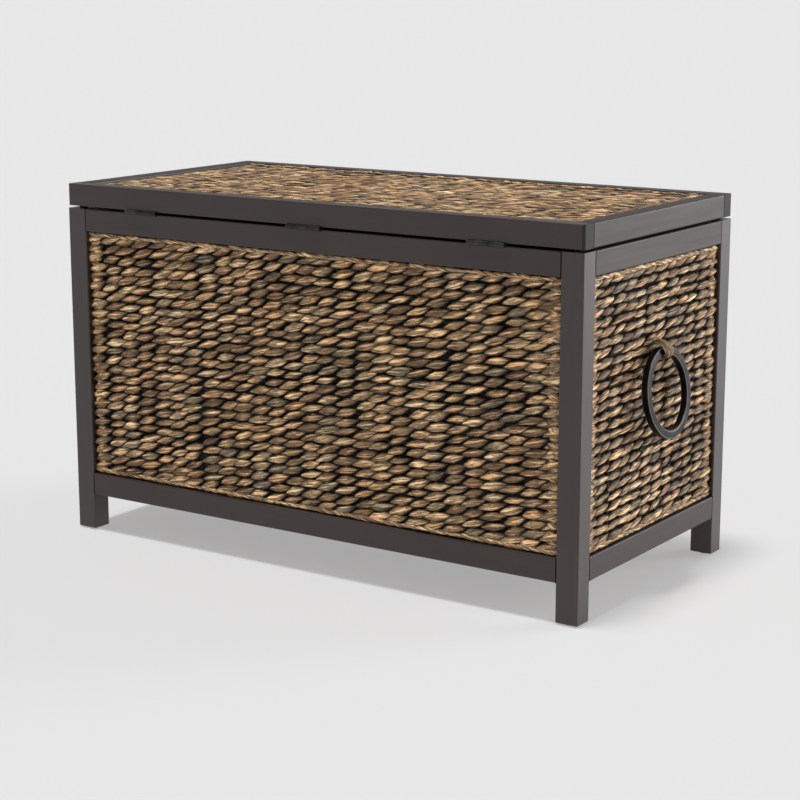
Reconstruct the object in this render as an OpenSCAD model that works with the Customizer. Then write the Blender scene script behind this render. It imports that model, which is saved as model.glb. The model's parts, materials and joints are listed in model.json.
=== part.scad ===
// Storage trunk: a dark timber frame with woven fibre panels, a hinged lid
// with two slotted stays, and a swinging ring handle on each end.
// The origin is on the floor under the middle of the box. The front faces -Y,
// the lid is hinged along +Y, and left is -X.

/* [Overall] */
// Width over the corner posts
trunk_w = 840; // [760:10:920]
// Depth over the corner posts
trunk_d = 415; // [405:5:440]
// Height to the top of the closed lid
trunk_h = 508; // [500:2:540]

/* [Box frame] */
// Width of a corner post, seen on the long faces
post_w = 32; // [31:1:36]
// Depth of a corner post, seen on the end faces
post_d = 30; // [29:1:34]
// Height of the box rails
rail_h = 32; // [30:1:36]
// Thickness of the box rails
rail_t = 22; // [21:1:23]
// Clear height under the bottom rails
leg_clear = 54; // [45:1:70]
// Rounding of the long edges of posts and rails
edge_r = 1.6; // [0.6:0.2:2]
// Thickness of the glide under each post
glide_t = 2.5; // [2:0.5:4]

/* [Lid frame] */
// Thickness of the lid rails
lid_t = 31; // [31:1:34]
// Width of the lid rails, seen from above
lid_rail_w = 24; // [22:1:28]
// Rounding of the lid's four outer corners
lid_corner_r = 4; // [3:1:10]
// Gap between the box and the closed lid
lid_gap = 3.5; // [3.5:0.1:4]
// Thickness of the board under the lid's weave
lid_board_t = 4; // [3:0.5:4]

/* [Weave] */
// Thickness of a side panel
weave_t = 13; // [12:0.5:14]
// Thickness of the lid panel
lid_weave_t = 9.5; // [8:0.5:9.5]
// Depth of the long panels behind the frame's faces
weave_inset = 5.5; // [4:0.5:6]
// Depth of the end panels behind the frame's faces
end_weave_inset = 3.5; // [3:0.5:4]
// Depth of the lid panel below the lid rails
lid_weave_inset = 2.5; // [2.5:0.5:4]
// Clearance all round a panel
weave_gap = 0.5; // [0.3:0.1:1]
// Diameter of the stakes inside the side panels
stake_dia = 6; // [5:0.5:7]
// Spacing of the stakes in the long panels and the lid
stake_pitch = 86; // [70:2:88]
// Spacing of the stakes in the end panels
end_stake_pitch = 80; // [70:2:84]

/* [Bottom] */
// Thickness of the bottom board
board_t = 6; // [4:1:9]
// Size of the square cleats under the board
cleat = 15; // [12:1:15]

/* [Ring handles] */
// Outer diameter of a ring
ring_dia = 122; // [110:2:130]
// Radial thickness of the ring's section
ring_section_r = 11; // [8:0.5:11]
// Axial thickness of the ring's section
ring_section_x = 11; // [9:0.5:11]
// Height of the ring's centre above the floor when it hangs straight down
ring_z = 267.5; // [255:0.5:275]
// Gap between the ring and the weave when it hangs straight down
ring_gap = 2.5; // [1.5:0.25:3]
// Angle at which the stiff loop lets the ring stand off the weave at rest
ring_lean = 8; // [0:1:12]
// Width of the fibre loop that holds a ring
loop_w = 20; // [16:1:22]
// Thickness of the loop's wall
loop_t = 2.5; // [2:0.25:3]

/* [Hinges] */
// Distance of the outer hinges from the middle
hinge_x = 282; // [240:2:320]
// Length of a hinge
hinge_len = 55; // [50:1:60]
// Diameter of the hinge barrel
barrel_dia = 6.5; // [6:0.25:6.5]
// Diameter of the hinge pin
pin_dia = 3; // [2.5:0.25:3.25]
// Thickness of a hinge leaf
leaf_t = 1.5; // [1.25:0.05:1.5]

/* [Lid stays] */
// Horizontal distance from the lid's axis to the stays' pivots
stay_reach = 185; // [160:5:190]
// Height of the pivots above and below the lid's axis
stay_rise = 8.75; // [8.5:0.05:9]
// Width of a stay arm
stay_w = 14; // [13:0.5:14]
// Thickness of a stay arm
stay_t = 2; // [1.5:0.25:2]
// Widest angle that the lid opens to
lid_open = 95; // [80:1:95]

/* [Hidden] */
$fn = 64;

// Left and right, and front and back
LEFT = -1;
RIGHT = 1;
FRONT = -1;
BACK = 1;
SIDES = [-1, 1];

// Tolerances: a glued or fixed fit, a running fit, a cut past a face, and a
// short lap that makes two shapes of one piece meet
fix_gap = 0.03;
run_gap = 0.08;
cut = 1;
lap = 0.1;

// Outer faces and levels
half_w = trunk_w / 2;
half_d = trunk_d / 2;
lid_z = trunk_h - lid_t;
box_z = lid_z - lid_gap;
top_rail_z = box_z - rail_h;
bottom_rail_top = leg_clear + rail_h;
post_h = box_z - glide_t;
post_x = half_w - post_w / 2;
post_y = half_d - post_d / 2;
inner_post_x = half_w - post_w;
inner_post_y = half_d - post_d;
rail_x = half_w - rail_t / 2;
rail_y = half_d - rail_t / 2;
inner_rail_x = half_w - rail_t;
inner_rail_y = half_d - rail_t;

// Dowels that join rails to posts
dowel_dia = 8;
dowel_in_rail = 15;
dowel_in_post_x = 14;
dowel_in_post_y = 13;
dowel_rise = 8;
dowel_spare = 0.5;
rail_levels = [leg_clear + rail_h / 2, top_rail_z + rail_h / 2];

// Side panels
weave_w = 2 * (inner_post_x - weave_gap);
weave_d = 2 * (inner_post_y - weave_gap);
weave_h = top_rail_z - bottom_rail_top - 2 * weave_gap;
weave_mid_z = (top_rail_z + bottom_rail_top) / 2;
weave_y = half_d - weave_inset - weave_t / 2;
weave_x = half_w - end_weave_inset - weave_t / 2;
stake_seat = 6;
stake_len = top_rail_z - bottom_rail_top + 2 * stake_seat;
stake_xs = [-4 : 4];
end_stake_ys = [-1.5 : 1 : 1.5];

// Lid levels and panels
lid_inner_x = half_w - lid_rail_w;
lid_inner_y = half_d - lid_rail_w;
lid_weave_top = trunk_h - lid_weave_inset;
lid_weave_z = lid_weave_top - lid_weave_t;
lid_board_z = lid_weave_z - lid_board_t;
groove_depth = 8;
groove_gap = 0.1;
lid_panel_gap = 1;
lid_stake_dia = 5;
lid_dowel_len = 30;
lid_dowel_rise = 8;
lid_dowel_z = lid_z + lid_dowel_rise;
lid_dowel_inset = lid_rail_w / 2;
bumper_dia = 12;
bumper_gap = 0.3;

// Bottom board and cleats
board_gap = 1;
board_drop = 5;
board_z = bottom_rail_top - board_drop - board_t;
cleat_z = board_z - cleat;
cleat_gap = 0.2;
cleat_screw_len = 28;
cleat_screw_pitch = 170;

// Hinges: the axis is in the gap, just behind the back face
axis_back = 1.5;
axis_y = half_d + axis_back;
axis_z = box_z + lid_gap / 2;
hinge_xs = [-hinge_x, 0, hinge_x];
barrel_r = barrel_dia / 2;
knuckles = 5;
knuckle_gap = 0.3;
knuckle_len = (hinge_len - (knuckles - 1) * knuckle_gap) / knuckles;
leaf_reach = 17.5;
leaf_y = half_d - leaf_reach;
leaf_edge_gap = 0.55;
leaf_edge_y = axis_y - barrel_r - leaf_edge_gap;
leaf_screw_inset = 10.5;
leaf_screw_y = half_d - leaf_screw_inset;
leaf_screw_pitch = 18;
mortise_gap = 0.1;
screw_dia = 3;
screw_head_dia = 5.6;
screw_head_h = 1.2;
screw_len = 14;

// Rings and loops
ring_mid_r = (ring_dia - ring_section_r) / 2;
ring_corner_r = 2.5;
ring_x = half_w - end_weave_inset + ring_gap + ring_section_x / 2;
pivot_z = ring_z + ring_mid_r;
loop_hole_r = 7.8;
loop_outer_r = loop_hole_r + loop_t;
loop_tail_t = 5;
loop_pad_w = 24;
loop_pad_h = 30;
loop_pad_t = 2.6;
loop_lap = 1;
loop_inner_face = half_w - end_weave_inset - weave_t;

// Lid stays: both pivots lie on one circle about the lid's axis, so the arm
// turns through half of the lid's angle while its slot slides over the stud
stay_y = axis_y - stay_reach;
stay_stud_z = axis_z - stay_rise;
stay_pivot_z = axis_z + stay_rise;
stay_circle_r = sqrt(stay_reach * stay_reach + stay_rise * stay_rise);
stay_start_angle = 2 * atan2(stay_rise, stay_reach);
slot_near = 2 * stay_rise;
slot_far = 2 * stay_circle_r * sin((lid_open + stay_start_angle) / 2);
slot_gap = 0.2;
stay_end = 9;
arm_gap = 1.8;
arm_out_x = lid_inner_x - arm_gap;
arm_in_x = arm_out_x - stay_t;
bracket_t = 1.5;
bracket_l = 36;
bracket_h = 12;
bracket_screw_y = 13;
bracket_screw_len = 12;
stud_dia = 6;
stud_head_dia = 11;
stud_flange_dia = 12;
stud_shank_dia = 4;
stud_shank_len = 12;
rivet_dia = 5;
rivet_head_dia = 9;
head_t = 1.4;
side_play = 0.3;

espresso = [0.26, 0.22, 0.21];
straw = [0.62, 0.49, 0.35];
bare_wood = [0.72, 0.58, 0.4];
dark_metal = [0.16, 0.15, 0.15];
steel = [0.7, 0.7, 0.7];
nylon = [0.3, 0.3, 0.3];

// ---- Plain shapes ----

// A centred rectangle with four round corners
module round_rect(size_a, size_b, r) {
  square([size_a - 2 * r, size_b], center = true);
  square([size_a, size_b - 2 * r], center = true);
  for (a = SIDES, b = SIDES)
    translate([a * (size_a / 2 - r), b * (size_b / 2 - r)]) circle(r);
}

// A centred bar along X with rounded long edges
module bar_x(length, size_y, size_z, r) {
  rotate([90, 0, 90])
    linear_extrude(length, center = true) round_rect(size_y, size_z, r);
}

// A centred bar along Y with rounded long edges
module bar_y(length, size_x, size_z, r) {
  rotate([90, 0, 0])
    linear_extrude(length, center = true) round_rect(size_x, size_z, r);
}

// A centred rod along X or Y
module rod_x(length, dia) {
  rotate([0, 90, 0]) cylinder(h = length, d = dia, center = true);
}
module rod_y(length, dia) {
  rotate([90, 0, 0]) cylinder(h = length, d = dia, center = true);
}

// A countersunk screw or its hole: head face at z 0, shank downwards
module screw(length, gap) {
  head_r = screw_head_dia / 2 + gap;
  shank_r = screw_dia / 2 + gap;
  translate([0, 0, -screw_head_h]) cylinder(h = screw_head_h, r1 = shank_r, r2 = head_r);
  translate([0, 0, -length]) cylinder(h = length - screw_head_h, r = shank_r);
}

// ---- Joinery shared by posts and rails ----

// The dowels of one corner, along X and along Y
module corner_dowels(side, face, gap, spare) {
  for (level = rail_levels, rise = [-dowel_rise, dowel_rise]) {
    x_len = dowel_in_post_x + dowel_in_rail - 2 * spare;
    y_len = dowel_in_post_y + dowel_in_rail - 2 * spare;
    x_mid = inner_post_x + (dowel_in_post_x - dowel_in_rail) / 2;
    y_mid = inner_post_y + (dowel_in_post_y - dowel_in_rail) / 2;
    translate([side * x_mid, face * rail_y, level + rise]) rod_x(x_len, dowel_dia + 2 * gap);
    translate([side * rail_x, face * y_mid, level + rise]) rod_y(y_len, dowel_dia + 2 * gap);
  }
}

module all_dowels(gap, spare) {
  for (side = SIDES, face = SIDES) corner_dowels(side, face, gap, spare);
}

// ---- Posts and rails of the box ----

module post(side, face) {
  color(espresso) difference() {
    translate([side * post_x, face * post_y, glide_t])
      linear_extrude(post_h) round_rect(post_w, post_d, edge_r);
    corner_dowels(side, face, fix_gap, 0);
    translate([side * post_x, face * post_y, glide_t]) glide_nail(fix_gap);
  }
}

module long_rail(face, z) {
  color(espresso) difference() {
    translate([0, face * rail_y, z + rail_h / 2])
      bar_x(2 * (inner_post_x - fix_gap), rail_t, rail_h, edge_r);
    all_dowels(fix_gap, 0);
    long_stakes(face, fix_gap);
    cleat_screw_row(face, fix_gap);
    if (face == BACK && z > leg_clear) {
      for (x = hinge_xs) translate([x, 0, 0]) {
        box_leaf_mortise();
        leaf_screws(box_z, 0, fix_gap);
      }
    }
  }
}

module end_rail(side, z) {
  color(espresso) difference() {
    translate([side * rail_x, 0, z + rail_h / 2])
      bar_y(2 * (inner_post_y - fix_gap), rail_t, rail_h, edge_r);
    all_dowels(fix_gap, 0);
    end_stakes(side, fix_gap);
    end_cleat_screws(side, fix_gap);
    if (z > leg_clear) stud_shank(side, fix_gap);
  }
}

// ---- Woven side panels and their stakes ----

module long_stakes(face, gap) {
  for (i = stake_xs)
    translate([i * stake_pitch, face * weave_y, weave_mid_z])
      cylinder(h = stake_len + 2 * gap, d = stake_dia + 2 * gap, center = true);
}

module end_stakes(side, gap) {
  for (i = end_stake_ys)
    translate([side * weave_x, i * end_stake_pitch, weave_mid_z])
      cylinder(h = stake_len + 2 * gap, d = stake_dia + 2 * gap, center = true);
}

module long_weave(face) {
  color(straw) difference() {
    translate([0, face * weave_y, weave_mid_z]) cube([weave_w, weave_t, weave_h], center = true);
    long_stakes(face, fix_gap);
  }
}

module end_weave(side) {
  color(straw) difference() {
    translate([side * weave_x, 0, weave_mid_z]) cube([weave_t, weave_d, weave_h], center = true);
    end_stakes(side, fix_gap);
    translate([side * ring_x, 0, pivot_z])
      rod_y(loop_w + 2 * fix_gap, 2 * (loop_outer_r + fix_gap));
    loop_tail(side, fix_gap);
  }
}

module panel_stakes() {
  color(bare_wood) {
    for (face = SIDES) long_stakes(face, 0);
    for (side = SIDES) end_stakes(side, 0);
  }
}

// ---- Bottom ----

module bottom_board() {
  board_x = inner_rail_x - board_gap;
  board_y = inner_rail_y - board_gap;
  notch_x = inner_post_x - board_gap;
  notch_y = inner_post_y - board_gap;
  color(espresso) translate([0, 0, board_z]) linear_extrude(board_t) {
    square([2 * board_x, 2 * notch_y], center = true);
    square([2 * notch_x, 2 * board_y], center = true);
  }
}

module long_cleat(face) {
  color(bare_wood) difference() {
    translate([0, face * (inner_rail_y - cleat / 2 - fix_gap), cleat_z + cleat / 2])
      cube([2 * (inner_post_x - cleat_gap), cleat, cleat - cleat_gap], center = true);
    cleat_screw_row(face, fix_gap);
  }
}

module end_cleat(side) {
  color(bare_wood) difference() {
    translate([side * (inner_rail_x - cleat / 2 - fix_gap), 0, cleat_z + cleat / 2])
      cube([cleat, 2 * (inner_rail_y - cleat - cleat_gap), cleat - cleat_gap], center = true);
    end_cleat_screws(side, fix_gap);
  }
}

module cleat_screw_row(face, gap) {
  for (i = [-2 : 2])
    translate([i * cleat_screw_pitch, face * (inner_rail_y - cleat - fix_gap), cleat_z + cleat / 2])
      rotate([face * 90, 0, 0]) screw(cleat_screw_len, gap);
}

module end_cleat_screws(side, gap) {
  for (i = [-0.5, 0.5])
    translate([side * (inner_rail_x - cleat - fix_gap), i * cleat_screw_pitch, cleat_z + cleat / 2])
      rotate([0, -side * 90, 0]) screw(cleat_screw_len, gap);
}

module cleat_screws() {
  color(steel) {
    for (face = SIDES) cleat_screw_row(face, 0);
    for (side = SIDES) end_cleat_screws(side, 0);
  }
}

// The nail of a glide, driven up into the foot of a post
module glide_nail(gap) {
  nail_len = 12;
  nail_dia = 2.4;
  translate([0, 0, -lap]) cylinder(h = nail_len + lap + gap, d = nail_dia + 2 * gap);
}

module foot_glides() {
  glide_dia = 20;
  foot_r = 1;
  color(nylon) for (side = SIDES, face = SIDES) translate([side * post_x, face * post_y, 0]) {
    cylinder(h = foot_r, d1 = glide_dia - 2 * foot_r, d2 = glide_dia);
    translate([0, 0, foot_r]) cylinder(h = glide_t - foot_r, d = glide_dia);
    translate([0, 0, glide_t]) glide_nail(0);
  }
}

// ---- Hinges ----

module knuckle(i, gap) {
  start = -hinge_len / 2 + i * (knuckle_len + knuckle_gap);
  translate([start + knuckle_len / 2, axis_y, axis_z]) difference() {
    rod_x(knuckle_len, barrel_dia);
    rod_x(knuckle_len + cut, pin_dia + 2 * gap);
  }
}

// The tab that ties a knuckle to its leaf, clear of the pin
module knuckle_tab(i, z) {
  start = -hinge_len / 2 + i * (knuckle_len + knuckle_gap);
  translate([start, leaf_edge_y, z]) cube([knuckle_len, axis_y - leaf_edge_y, leaf_t]);
}

// A leaf with its knuckles. The box's leaf lies below the gap, the lid's above it
module hinge_leaf(z, own, gap, flip) {
  difference() {
    union() {
      translate([-hinge_len / 2, leaf_y, z]) cube([hinge_len, leaf_edge_y - leaf_y, leaf_t]);
      for (i = own) knuckle_tab(i, z);
    }
    leaf_screws(flip ? z : z + leaf_t, flip ? 180 : 0, fix_gap);
    translate([0, axis_y, axis_z]) rod_x(hinge_len + cut, pin_dia + 2 * gap);
  }
  for (i = own) knuckle(i, gap);
}

module leaf_screws(z, turn, gap) {
  for (i = [-1 : 1])
    translate([i * leaf_screw_pitch, leaf_screw_y, z]) rotate([turn, 0, 0]) screw(screw_len, gap);
}

module box_leaf_mortise() {
  translate([-hinge_len / 2 - mortise_gap, leaf_y - mortise_gap, box_z - leaf_t])
    cube([hinge_len + 2 * mortise_gap, trunk_d, leaf_t + cut]);
}

module lid_leaf_mortise() {
  translate([-hinge_len / 2 - mortise_gap, leaf_y - mortise_gap, lid_z - cut])
    cube([hinge_len + 2 * mortise_gap, trunk_d, leaf_t + cut]);
}

module hinge_leaves_box() {
  color(dark_metal) for (x = hinge_xs) translate([x, 0, 0])
    hinge_leaf(box_z - leaf_t, [0, 2, 4], fix_gap, false);
}

module hinge_leaves_lid() {
  color(dark_metal) for (x = hinge_xs) translate([x, 0, 0])
    hinge_leaf(lid_z, [1, 3], run_gap, true);
}

module hinge_pins() {
  pin_proud = 0.4;
  color(dark_metal) for (x = hinge_xs)
    translate([x, axis_y, axis_z]) rod_x(hinge_len + 2 * pin_proud, pin_dia);
}

module hinge_screws_box() {
  color(dark_metal) for (x = hinge_xs) translate([x, 0, 0]) leaf_screws(box_z, 0, 0);
}

module hinge_screws_lid() {
  color(dark_metal) for (x = hinge_xs) translate([x, 0, 0]) leaf_screws(lid_z, 180, 0);
}

// ---- Ring handles and their loops ----

module loop_tail(side, gap) {
  tail_len = ring_x - loop_hole_r - loop_inner_face - loop_lap;
  translate([side * (loop_inner_face + tail_len / 2), 0, pivot_z])
    cube([tail_len + 2 * lap, loop_w + 2 * gap, loop_tail_t + 2 * gap], center = true);
}

module ring_loop(side) {
  color(straw) difference() {
    union() {
      translate([side * ring_x, 0, pivot_z]) rod_y(loop_w, 2 * loop_outer_r);
      loop_tail(side, 0);
      translate([side * (loop_inner_face - loop_pad_t / 2 - fix_gap), 0, pivot_z])
        cube([loop_pad_t, loop_pad_w, loop_pad_h], center = true);
    }
    translate([side * ring_x, 0, pivot_z]) rod_y(loop_w + cut, 2 * loop_hole_r);
  }
}

// The ring turns about the middle of its own section, inside the loop
module ring_handle(side) {
  color(dark_metal) translate([side * ring_x, 0, pivot_z]) rotate([0, -side * ring_lean, 0])
    translate([0, 0, -ring_mid_r]) rotate([0, 90, 0])
      rotate_extrude($fn = 96) translate([ring_mid_r, 0])
        round_rect(ring_section_r, ring_section_x, ring_corner_r);
}

// ---- Lid stays ----

module stud_shank(side, gap) {
  translate([side * (inner_rail_x + stud_shank_len / 2), stay_y, stay_stud_z])
    rod_x(stud_shank_len + 2 * lap, stud_shank_dia + 2 * gap);
}

module stay_stud(side) {
  head_in_x = arm_in_x - side_play - head_t;
  color(steel) {
    stud_shank(side, 0);
    translate([side * (head_in_x + inner_rail_x) / 2, stay_y, stay_stud_z])
      rod_x(inner_rail_x - head_in_x, stud_dia);
    translate([side * (arm_out_x + side_play + inner_rail_x) / 2, stay_y, stay_stud_z])
      rod_x(inner_rail_x - arm_out_x - side_play, stud_flange_dia);
    translate([side * (head_in_x + head_t / 2), stay_y, stay_stud_z]) rod_x(head_t, stud_head_dia);
  }
}

// The plate on the lid rail, with the rivet that the arm turns on
module stay_bracket(side) {
  head_in_x = arm_in_x - side_play - head_t;
  plate_in_x = lid_inner_x - bracket_t;
  color(steel) {
    difference() {
      translate([side * (plate_in_x + bracket_t / 2), stay_y, stay_pivot_z])
        cube([bracket_t - 2 * fix_gap, bracket_l, bracket_h], center = true);
      bracket_screw_pair(side, fix_gap);
    }
    translate([side * (head_in_x + lid_inner_x - fix_gap) / 2, stay_y, stay_pivot_z])
      rod_x(lid_inner_x - fix_gap - head_in_x, rivet_dia);
    translate([side * (head_in_x + head_t / 2), stay_y, stay_pivot_z]) rod_x(head_t, rivet_head_dia);
  }
}

module bracket_screw_pair(side, gap) {
  for (i = SIDES)
    translate([side * (lid_inner_x - bracket_t + fix_gap), stay_y + i * bracket_screw_y, stay_pivot_z])
      rotate([0, -side * 90, 0]) screw(bracket_screw_len, gap);
}

module stay_bracket_screws() {
  color(steel) for (side = SIDES) bracket_screw_pair(side, 0);
}

// Straight arm with a long slot, hanging from the rivet when the lid is shut
module stay_arm(side) {
  arm_r = stay_w / 2;
  tip = slot_far + stay_end - arm_r;
  slot_r = stud_dia / 2 + slot_gap;
  color(steel) translate([side * (arm_out_x + arm_in_x) / 2, stay_y, stay_pivot_z])
    rotate([0, 90, 0]) linear_extrude(stay_t, center = true) difference() {
      union() {
        circle(arm_r);
        translate([0, -arm_r]) square([tip, stay_w]);
        translate([tip, 0]) circle(arm_r);
      }
      circle(d = rivet_dia + 2 * run_gap);
      translate([slot_near - slot_gap, 0]) circle(slot_r);
      translate([slot_near - slot_gap, -slot_r]) square([slot_far - slot_near + 2 * slot_gap, 2 * slot_r]);
      translate([slot_far + slot_gap, 0]) circle(slot_r);
    }
}

// ---- Lid ----

module lid_dowel_pair(side, gap, spare) {
  for (face = SIDES)
    translate([side * (half_w - lid_dowel_inset), face * lid_inner_y, lid_dowel_z])
      rod_y(lid_dowel_len - 2 * spare, dowel_dia + 2 * gap);
}

// The groove all round the frame that holds the lid board
module lid_groove() {
  translate([0, 0, lid_board_z + lid_board_t / 2])
    cube([
      2 * (lid_inner_x + groove_depth), 2 * (lid_inner_y + groove_depth), lid_board_t + 2 * groove_gap
    ], center = true);
}

// Plan of a front or back lid rail, with its two outer corners rounded
module long_lid_plan() {
  r = lid_corner_r;
  square_w = trunk_w - 2 * r;
  translate([-trunk_w / 2, lid_inner_y]) square([trunk_w, lid_rail_w - r]);
  translate([-square_w / 2, lid_inner_y]) square([square_w, lid_rail_w]);
  for (side = SIDES) translate([side * (half_w - r), half_d - r]) circle(r);
}

module long_lid_rail(face) {
  color(espresso) difference() {
    intersection() {
      translate([0, 0, lid_z]) linear_extrude(lid_t)
        mirror([0, face == FRONT ? 1 : 0]) long_lid_plan();
      translate([0, face * (half_d - lid_rail_w / 2), lid_z + lid_t / 2])
        bar_x(trunk_w + cut, lid_rail_w, lid_t, edge_r);
    }
    lid_groove();
    for (side = SIDES) lid_dowel_pair(side, fix_gap, 0);
    if (face == BACK) {
      for (x = hinge_xs) translate([x, 0, 0]) {
        lid_leaf_mortise();
        leaf_screws(lid_z, 180, fix_gap);
      }
    }
  }
}

module end_lid_rail(side) {
  color(espresso) difference() {
    translate([side * (half_w - lid_rail_w / 2), 0, lid_z + lid_t / 2])
      bar_y(2 * (lid_inner_y - fix_gap), lid_rail_w, lid_t, edge_r);
    lid_groove();
    lid_dowel_pair(side, fix_gap, 0);
    bracket_screw_pair(side, fix_gap);
  }
}

module lid_board() {
  reach = groove_depth - lid_panel_gap;
  color(espresso) translate([0, 0, lid_board_z + lid_board_t / 2])
    cube([2 * (lid_inner_x + reach), 2 * (lid_inner_y + reach), lid_board_t], center = true);
}

module lid_stakes_set(gap) {
  for (i = stake_xs)
    translate([i * stake_pitch, 0, lid_weave_z + lid_weave_t / 2])
      rod_y(2 * (lid_inner_y - lid_panel_gap) + (gap > 0 ? cut : 0), lid_stake_dia + 2 * gap);
}

module lid_woven_panel() {
  color(straw) difference() {
    translate([0, 0, lid_weave_z + fix_gap + lid_weave_t / 2])
      cube([2 * (lid_inner_x - lid_panel_gap), 2 * (lid_inner_y - lid_panel_gap), lid_weave_t - fix_gap],
        center = true);
    lid_stakes_set(fix_gap);
  }
}

module lid_stakes() {
  color(bare_wood) lid_stakes_set(0);
}

module lid_dowels() {
  color(bare_wood) for (side = SIDES) lid_dowel_pair(side, 0, dowel_spare);
}

module frame_dowels() {
  color(bare_wood) all_dowels(0, dowel_spare);
}

module lid_bumpers() {
  bumper_t = lid_gap - bumper_gap;
  color(nylon) for (side = SIDES, face = SIDES)
    translate([side * post_x, face * post_y, lid_z - bumper_t]) cylinder(h = bumper_t, d = bumper_dia);
}

// ---- Nodes ----

post(LEFT, FRONT);  // post_front_left
post(RIGHT, FRONT);  // post_front_right
post(LEFT, BACK);  // post_back_left
post(RIGHT, BACK);  // post_back_right
long_rail(FRONT, top_rail_z);  // top_rail_front
long_rail(BACK, top_rail_z);  // top_rail_back
end_rail(LEFT, top_rail_z);  // top_rail_left
end_rail(RIGHT, top_rail_z);  // top_rail_right
long_rail(FRONT, leg_clear);  // bottom_rail_front
long_rail(BACK, leg_clear);  // bottom_rail_back
end_rail(LEFT, leg_clear);  // bottom_rail_left
end_rail(RIGHT, leg_clear);  // bottom_rail_right
long_weave(FRONT);  // woven_panel_front
long_weave(BACK);  // woven_panel_back
end_weave(LEFT);  // woven_panel_left
end_weave(RIGHT);  // woven_panel_right
panel_stakes();
bottom_board();
long_cleat(FRONT);  // cleat_front
long_cleat(BACK);  // cleat_back
end_cleat(LEFT);  // cleat_left
end_cleat(RIGHT);  // cleat_right
cleat_screws();
frame_dowels();
foot_glides();
hinge_leaves_box();
hinge_pins();
hinge_screws_box();
ring_loop(LEFT);  // ring_loop_left
ring_loop(RIGHT);  // ring_loop_right
stay_stud(LEFT);  // stay_stud_left
stay_stud(RIGHT);  // stay_stud_right
long_lid_rail(FRONT);  // lid_rail_front
long_lid_rail(BACK);  // lid_rail_back
end_lid_rail(LEFT);  // lid_rail_left
end_lid_rail(RIGHT);  // lid_rail_right
lid_board();
lid_woven_panel();
lid_stakes();
lid_dowels();
lid_bumpers();
hinge_leaves_lid();
hinge_screws_lid();
stay_bracket(LEFT);  // stay_bracket_left
stay_bracket(RIGHT);  // stay_bracket_right
stay_bracket_screws();
ring_handle(LEFT);  // ring_handle_left
ring_handle(RIGHT);  // ring_handle_right
stay_arm(LEFT);  // stay_arm_left
stay_arm(RIGHT);  // stay_arm_right
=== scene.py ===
"""Storage trunk with a dark timber frame, woven fibre panels, ring handles and a hinged lid."""

import json
import math
import random

import bpy
from mathutils import Matrix, Vector

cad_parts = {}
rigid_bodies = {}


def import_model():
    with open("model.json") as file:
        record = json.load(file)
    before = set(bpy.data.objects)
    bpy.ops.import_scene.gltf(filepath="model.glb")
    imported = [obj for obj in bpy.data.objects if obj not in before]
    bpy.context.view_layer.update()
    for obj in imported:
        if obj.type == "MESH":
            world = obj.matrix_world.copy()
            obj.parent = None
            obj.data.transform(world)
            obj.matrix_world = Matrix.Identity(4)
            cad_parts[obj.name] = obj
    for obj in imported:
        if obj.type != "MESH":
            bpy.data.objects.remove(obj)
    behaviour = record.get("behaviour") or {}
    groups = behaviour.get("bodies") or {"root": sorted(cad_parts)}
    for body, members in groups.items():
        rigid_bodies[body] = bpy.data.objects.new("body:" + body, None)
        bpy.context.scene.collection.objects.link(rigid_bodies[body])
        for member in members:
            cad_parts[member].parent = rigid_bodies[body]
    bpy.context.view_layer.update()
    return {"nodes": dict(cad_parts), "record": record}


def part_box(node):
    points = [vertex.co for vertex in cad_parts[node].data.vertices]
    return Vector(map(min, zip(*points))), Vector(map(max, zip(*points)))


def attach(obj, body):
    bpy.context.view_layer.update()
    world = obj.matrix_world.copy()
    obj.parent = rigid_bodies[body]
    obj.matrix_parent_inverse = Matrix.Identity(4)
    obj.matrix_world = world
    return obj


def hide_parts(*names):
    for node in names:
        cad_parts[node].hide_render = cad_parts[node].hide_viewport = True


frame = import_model()
scene = bpy.context.scene
MM = 0.001
END_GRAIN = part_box("post_back_right")[1].x - 4 * MM  # the long lid rails are cut across past it
RING_SECTION = 11 * MM  # thickness of the ring handles, across and through
FIBRE_UNIT = 42 * MM  # the length of strand that one unit of its pattern covers
LOOP_CROWN = 0.78  # the crown level that every point of the fibre loops gets, 0 to 1; the fibre's painted shade ramp darkens the whole loop by it
JOINTS = {joint["name"]: joint for joint in frame["record"]["behaviour"]["joints"]}

# Each woven panel's own right, up and outward directions, as a person outside the trunk
# sees it.
FACING = {
    "woven_panel_front": ((1, 0, 0), (0, 0, 1), (0, -1, 0)),
    "woven_panel_back": ((-1, 0, 0), (0, 0, 1), (0, 1, 0)),
    "woven_panel_left": ((0, -1, 0), (0, 0, 1), (-1, 0, 0)),
    "woven_panel_right": ((0, 1, 0), (0, 0, 1), (1, 0, 0)),
    "lid_woven_panel": ((-1, 0, 0), (0, -1, 0), (0, 0, 1)),
}

# The strands of each kind of woven panel: their pitch along the row, length, width and
# height in mm, and their tilt in degrees.
STRANDS = {"long": (28.5, 46.0, 14.8, 5.6, 13.0), "end": (30.0, 49.0, 13.0, 5.6, 6.0),
           "lid": (28.5, 46.0, 13.2, 3.9, 13.0)}
ROW_PITCH = 13.4 * MM
# How far the strands of one panel differ: rolled and pitched up to these angles, in
# radians, and scaled between these shares of the length, the width and the height.
STRAND_ROLL, STRAND_PITCH = 0.09, 0.07
STRAND_SHARES = ((0.86, 1.16), (0.82, 1.12), (0.76, 1.12))


# ---- Node trees in short form ----

def put(tree, socket, value):
    """Links or sets one input."""
    if isinstance(value, bpy.types.NodeSocket):
        tree.links.new(value, socket)
    else:
        socket.default_value = value


def node(tree, kind, inputs=None, **settings):
    """A new node with its settings and inputs."""
    made = tree.nodes.new(kind)
    for name, value in settings.items():
        setattr(made, name, value)
    for name, value in (inputs or {}).items():
        put(tree, made.inputs[name], value)
    return made


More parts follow.
